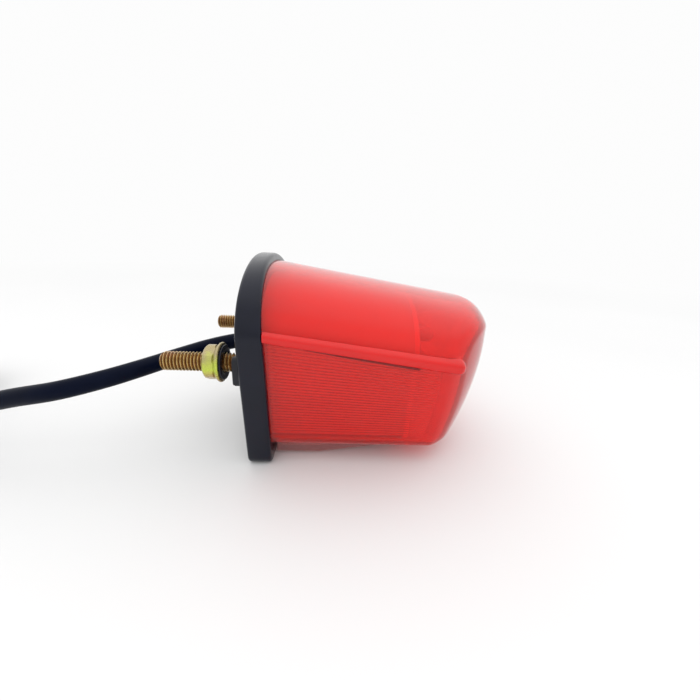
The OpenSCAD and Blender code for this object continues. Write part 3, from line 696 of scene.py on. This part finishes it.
# Corners of the gasket's section: x, inset from the base's outline, radius
GASKET_SECTION = [
    (0, 3.2, 0), (0, 0, 1.2), (GASKET_T, 0, 1.2), (GASKET_T, 2.4, 0.4), (GASKET_T - 0.8, 2.6, 0),
    (4.8, 2.3, 0), (1.4, 2.3, 0), (1.4, 3.2, 0)]
# Its lip starts at this inset, and keeps this gap to the lens, wider by LIP_MORE over the arch
LIP_INSET, LIP_GAP, LIP_MORE, LIP_RUN = 1.9, 0.05, 0.3, 15


def make_gasket():
    marks = both_sides(half_marks(10, 8, shares(24), shares(ARCH_STEPS)))
    rings = []
    for x, inset in rounded(GASKET_SECTION):
        ring = []
        for m in marks:
            y, z = spot(m, gasket_form(inset))
            if x > LENS_X and inset > LIP_INSET:
                gap = LIP_GAP + LIP_MORE * ease((z - SHOULDER) / LIP_RUN)
                y, z = spot(m, lens_form(x, -gap))
            ring.append((x - GASKET_T + gasket_front(z) if x > LENS_X else x, y, z))
        rings.append(ring)
    faces = grid_faces(len(rings), len(marks), loop=True)
    gasket = make_piece("rubber_gasket", flattened(rings), faces, "black_rubber", LAMP, sharp=35)
    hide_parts("base_gasket")


# Threaded studs, flange nuts and washers

STUD_ROOT, STUD_CHAMFER, STUD_CHAMFER_RISE, CREST_INSET = 1.2, 0.75, 1.1, 0.01
CREST_SHARE, FLANK_SHARE = 0.12, 0.72
STUD_AROUND, STUD_PER_TURN = 48, 10


def stud_point(x, side, r, turn):
    """Point at a radius and a share of a turn round one stud's axis."""
    a = 2 * math.pi * turn
    return (x, side * STUD_Y + r * math.cos(a), r * math.sin(a))


def make_stud(name, side, node):
    tip = -STUD_FREE
    steps = int((STUD_ROOT - tip) / THREAD_PITCH * STUD_PER_TURN)
    points = []
    for i in range(steps + 1):
        x = tip + (STUD_ROOT - tip) * i / steps
        chamfer = STUD_R - STUD_CHAMFER + (x - tip) * STUD_CHAMFER_RISE
        for k in range(STUD_AROUND):
            turn = k / STUD_AROUND
            wave = abs(((x / THREAD_PITCH - turn) % 1.0) * 2 - 1)
            flank = min(max((wave - CREST_SHARE) / FLANK_SHARE, 0), 1)
            r = min(STUD_R - CREST_INSET - THREAD_DEPTH * flank, chamfer)
            points.append(stud_point(x, side, r, turn))
    faces = tube_faces(steps + 1, STUD_AROUND)
    stud = make_piece(name, points, faces, "gold_zinc", LAMP, sharp=60)
    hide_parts(node)


NUT_BACK, NUT_AF, NUT_CORNER, NUT_BORE, NUT_COUNTERSINK = -11.3, 10.0, 5.4, 3.0, 3.55
FLANGE_R, FLANGE_EDGE = 6.1, 6.04
NUT_TURN = math.radians(59)
NUT_AROUND = 144
# Rings of the nut's section: height over its back, and radius, which limits the hexagon
HEX_ROWS = [(0.0, NUT_COUNTERSINK), (0.0, 4.5), (0.2, 4.8), (0.5, 5.1), (0.8, 5.3),
            (1.0, NUT_CORNER), (2.8, NUT_CORNER), (3.2, NUT_CORNER)]
FLANGE_ROWS = [(3.4, 5.05), (3.8, 5.5), (4.2, 5.9), (4.4, FLANGE_EDGE), (4.65, FLANGE_R),
               (4.82, FLANGE_EDGE), (5.0, 5.9), (5.0, NUT_COUNTERSINK), (4.55, NUT_BORE),
               (0.5, NUT_BORE)]


def hex_r(turn):
    """Radius of the nut's hexagon at a share of a turn."""
    sixth = math.radians(60)
    to_flat = (2 * math.pi * turn - NUT_TURN + sixth / 2) % sixth - sixth / 2
    return NUT_AF / 2 / math.cos(to_flat)


def make_nut(name, side, node, body):
    turns = [k / NUT_AROUND for k in range(NUT_AROUND)]
    rings = []
    for h, limit in HEX_ROWS:
        rings.append([stud_point(NUT_BACK + h, side, min(hex_r(t), limit), t) for t in turns])
    for h, r in FLANGE_ROWS:
        rings.append([stud_point(NUT_BACK + h, side, r, t) for t in turns])
    faces = grid_faces(len(rings), NUT_AROUND, loop=True)
    nut = make_piece(name, flattened(rings), faces, "yellow_zinc", body, sharp=32)
    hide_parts(node)


WASHER_BACK, WASHER_FRONT, WASHER_BORE, WASHER_R = -6.28, -5.6, 3.25, 5.3
WASHER_BORE_EDGE, WASHER_RIM_EDGE = 0.1, 0.2
WASHER_AROUND = 96


def make_washer(name, side, node, body):
    section = rounded([
        (WASHER_BACK, WASHER_BORE, WASHER_BORE_EDGE), (WASHER_BACK, WASHER_R, WASHER_RIM_EDGE),
        (WASHER_FRONT, WASHER_R, WASHER_RIM_EDGE), (WASHER_FRONT, WASHER_BORE, WASHER_BORE_EDGE)])
    points = [stud_point(x, side, r, k / WASHER_AROUND)
              for x, r in section for k in range(WASHER_AROUND)]
    faces = grid_faces(len(section), WASHER_AROUND, loop=True)
    washer = make_piece(name, points, faces, "black_rubber", body, sharp=50)
    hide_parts(node)


# Cable: its route from the base, through the coil, to the plug

CABLE_ROUTE = [
    (9, 0, 0), (0, 0, 0), (-8.5, -0.5, -0.6), (-17.5, -4, -2), (-25.5, -11.5, -3.3),
    (-32.5, -20.5, -4.2), (-40, -28.5, -5.2), (-51, -33.5, -7.2), (-65, -33, -10.2),
    (-79, -31.5, -14.2), (-93, -29.3, -18.8), (-108, -26.8, -24.2), (-123, -24.6, -29)]
COIL_R, COIL_X, COIL_Y, COIL_LOW, COIL_PITCH, COIL_TURNS = 27.5, -153.0, 4.0, -31.25, 6.05, 2
COIL_STEP, TAIL_BACK = 10, 15
LEAD_IN = (3, 1.5)
FREE_SPLIT, TAIL_SPLIT = 5, 4
SHEATH_ROUNDNESS = 8
# From the coil's end down to the floor, then into the plug's back
TAIL_STEPS = [(-9, -0.5, 0), (-18, -1.9, -1.7), (-27, -3.2, -5.2), (-36, -4.2, -8.6)]
PLUG_BACK, PLUG_APPROACH = (-207, -28, -30.6), (8.25, 0.2, 0.4)


def bend(p, i, t):
    """Point on the smooth curve through the points, at a share t of stretch i."""
    a, b = p[max(i - 1, 0)], p[i]
    c, d = p[i + 1], p[min(i + 2, len(p) - 1)]
    return 0.5 * (2 * b + (c - a) * t + (2 * a - 5 * b + 4 * c - d) * t * t
                  + (3 * b - a - 3 * c + d) * t ** 3)


def smooth_route(points, steps):
    p = [np.array(q, dtype=float) for q in points]
    return [bend(p, i, s / steps) for i in range(len(p) - 1) for s in range(steps)] + [p[-1]]


def coil_point(degrees):
    a = math.radians(degrees)
    return np.array((COIL_X - COIL_R * math.sin(a), COIL_Y - COIL_R * math.cos(a),
                     COIL_LOW + COIL_PITCH * degrees / 360))


def cable_points():
    step_in = coil_point(1) - coil_point(0)
    step_in /= np.linalg.norm(step_in)
    lead_in = [coil_point(0) - s * 2 * CABLE_R * step_in for s in LEAD_IN]
    free = smooth_route(CABLE_ROUTE + lead_in, FREE_SPLIT)
    coil = [coil_point(a) for a in range(0, 360 * COIL_TURNS + 1, COIL_STEP)]
    end = coil[-1]
    last = np.array(PLUG_BACK, dtype=float)
    before_end = coil_point(360 * COIL_TURNS - TAIL_BACK)
    to_plug = [end + step for step in TAIL_STEPS] + [last + PLUG_APPROACH, last]
    tail = smooth_route([before_end, end] + to_plug, TAIL_SPLIT)
    # The tail's first stretch lies in the coil, and only gives it its way out
    return free + coil + tail[TAIL_SPLIT + 1:]


def make_cable():
    curve = bpy.data.curves.new("cable", "CURVE")
    curve.dimensions = "3D"
    curve.bevel_depth = CABLE_R * MM
    curve.bevel_resolution = SHEATH_ROUNDNESS
    curve.use_fill_caps = True
    points = cable_points()
    spline = curve.splines.new("POLY")
    spline.points.add(len(points) - 1)
    for target, p in zip(spline.points, points):
        target.co = (*(p * MM), 1)
    spline.use_smooth = True
    curve.materials.append(MATERIALS["black_sheath"])
    piece = place_object("black_cable", curve)
    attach(piece, LAMP)
    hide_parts("cable", "cable_coil")


make_cable()
make_lens()
make_carrier()
make_gasket()
for side_name, side in (("left", -1), ("right", 1)):
    make_stud(side_name + "_threaded_stud", side, side_name + "_stud")
    make_nut(side_name + "_flange_nut", side, side_name + "_nut", side_name + "_nut_body")
    make_washer(side_name + "_black_washer", side, side_name + "_washer",
                side_name + "_washer_body")


# Floor, backdrop colour and lights

BACKDROP_WHITE = 0.98
FLOOR_HALF = 6.0
FLOOR_GREYS, FLOOR_MOTTLE, FLOOR_DETAIL = (0.7, 0.73), 3.0, 2.0
FLOOR_ROUGHNESS, FLOOR_SPECULAR = 0.7, 0.15
# Metres from the lamp over which the floor fades to white
FADE_FROM, FADE_TO = 0.15, 0.9


def larger_of(tree, level, path, kinds):
    """The level, raised to 1 for rays of these kinds."""
    for kind in kinds:
        level = maths(tree, "MAXIMUM", level, path.outputs[kind])
    return level


def make_floor():
    """Plain pale floor that fades to the white of the backdrop far from the lamp."""
    mesh = bpy.data.meshes.new("floor")
    corners = ((-1, -1), (1, -1), (1, 1), (-1, 1))
    mesh.from_pydata([(FLOOR_HALF * x, FLOOR_HALF * y, FOOT * MM) for x, y in corners],
                     [], [(0, 1, 2, 3)])
    material, tree, shader = new_material("pale_floor")
    place = texture_place(tree)
    mottle = noise(tree, place, FLOOR_MOTTLE, FLOOR_DETAIL)
    pale = ramp(tree, mottle, [(NOISE_LOW, grey(FLOOR_GREYS[0])), (NOISE_HIGH, grey(FLOOR_GREYS[1]))])
    tree.links.new(pale, shader.inputs["Base Color"])
    shader.inputs["Roughness"].default_value = FLOOR_ROUGHNESS
    shader.inputs["Specular IOR Level"].default_value = FLOOR_SPECULAR
    far = vector_maths(tree, "LENGTH", place)
    fade = ramp(tree, far, [(FADE_FROM, grey(0)), (FADE_TO, grey(1))])
    white = tree.nodes.new("ShaderNodeEmission")
    white.inputs["Color"].default_value = (1, 1, 1, 1)
    white.inputs["Strength"].default_value = BACKDROP_WHITE
    path = tree.nodes.new("ShaderNodeLightPath")
    seen = larger_of(tree, path.outputs["Is Camera Ray"], path,
                     ("Is Glossy Ray", "Is Transmission Ray"))
    show_mix(tree, maths(tree, "MULTIPLY", fade, seen), shader.outputs["BSDF"],
             white.outputs["Emission"], "Material Output")
    mesh.materials.append(material)
    place_object("floor", mesh)


SOFTBOX_AT, SOFTBOX_AIM = Vector((0.04, -0.5, 0.42)), Vector((0.03, 0, 0))
SOFTBOX_SIZE, SOFTBOX_POWER = (0.6, 0.5), 1.2


def make_softbox():
    """Wide weak lamp on the near side, hidden from reflections."""
    data = bpy.data.lights.new("softbox", "AREA")
    data.shape = "RECTANGLE"
    data.size, data.size_y = SOFTBOX_SIZE
    data.energy = SOFTBOX_POWER
    softbox = place_object("softbox", data)
    softbox.location = SOFTBOX_AT
    softbox.rotation_euler = (SOFTBOX_AIM - SOFTBOX_AT).to_track_quat("-Z", "Y").to_euler()
    softbox.visible_glossy = False


BRIGHTEST_WAY = (0.0, 0.4, 0.92)
ROOM_STEPS = [(0.3, 0.4), (0.43, 0.6), (0.58, 0.68), (0.76, 0.7), (0.9, 1.02)]
ROOM_STRENGTH = 1.52
GLOSSY_WHITE = 0.25


def make_world():
    """Room that is bright above and behind and dim on the near side.

    The camera and rays through the lens see white in its place, and reflections a share of it."""
    world = bpy.data.worlds.new("white_room")
    world.use_nodes = True
    tree = world.node_tree
    room = tree.nodes["Background"]
    place = tree.nodes.new("ShaderNodeTexCoord")
    facing = vector_maths(tree, "DOT_PRODUCT", place.outputs["Generated"], BRIGHTEST_WAY)
    from_0_to_1 = maths(tree, "MULTIPLY_ADD", facing, 0.5, 0.5)
    steps = [(where, grey(level)) for where, level in ROOM_STEPS]
    tree.links.new(ramp(tree, from_0_to_1, steps), room.inputs["Color"])
    room.inputs["Strength"].default_value = ROOM_STRENGTH
    seen = tree.nodes.new("ShaderNodeBackground")
    seen.inputs["Color"].default_value = (1, 1, 1, 1)
    seen.inputs["Strength"].default_value = BACKDROP_WHITE
    path = tree.nodes.new("ShaderNodeLightPath")
    in_gloss = maths(tree, "MULTIPLY", path.outputs["Is Glossy Ray"], GLOSSY_WHITE)
    white_share = larger_of(tree, in_gloss, path, ("Is Camera Ray", "Is Transmission Ray"))
    show_mix(tree, white_share, room.outputs["Background"], seen.outputs["Background"],
             "World Output")
    bpy.context.scene.world = world


make_floor()
make_world()
make_softbox()
bpy.context.scene.view_settings.view_transform = "Standard"
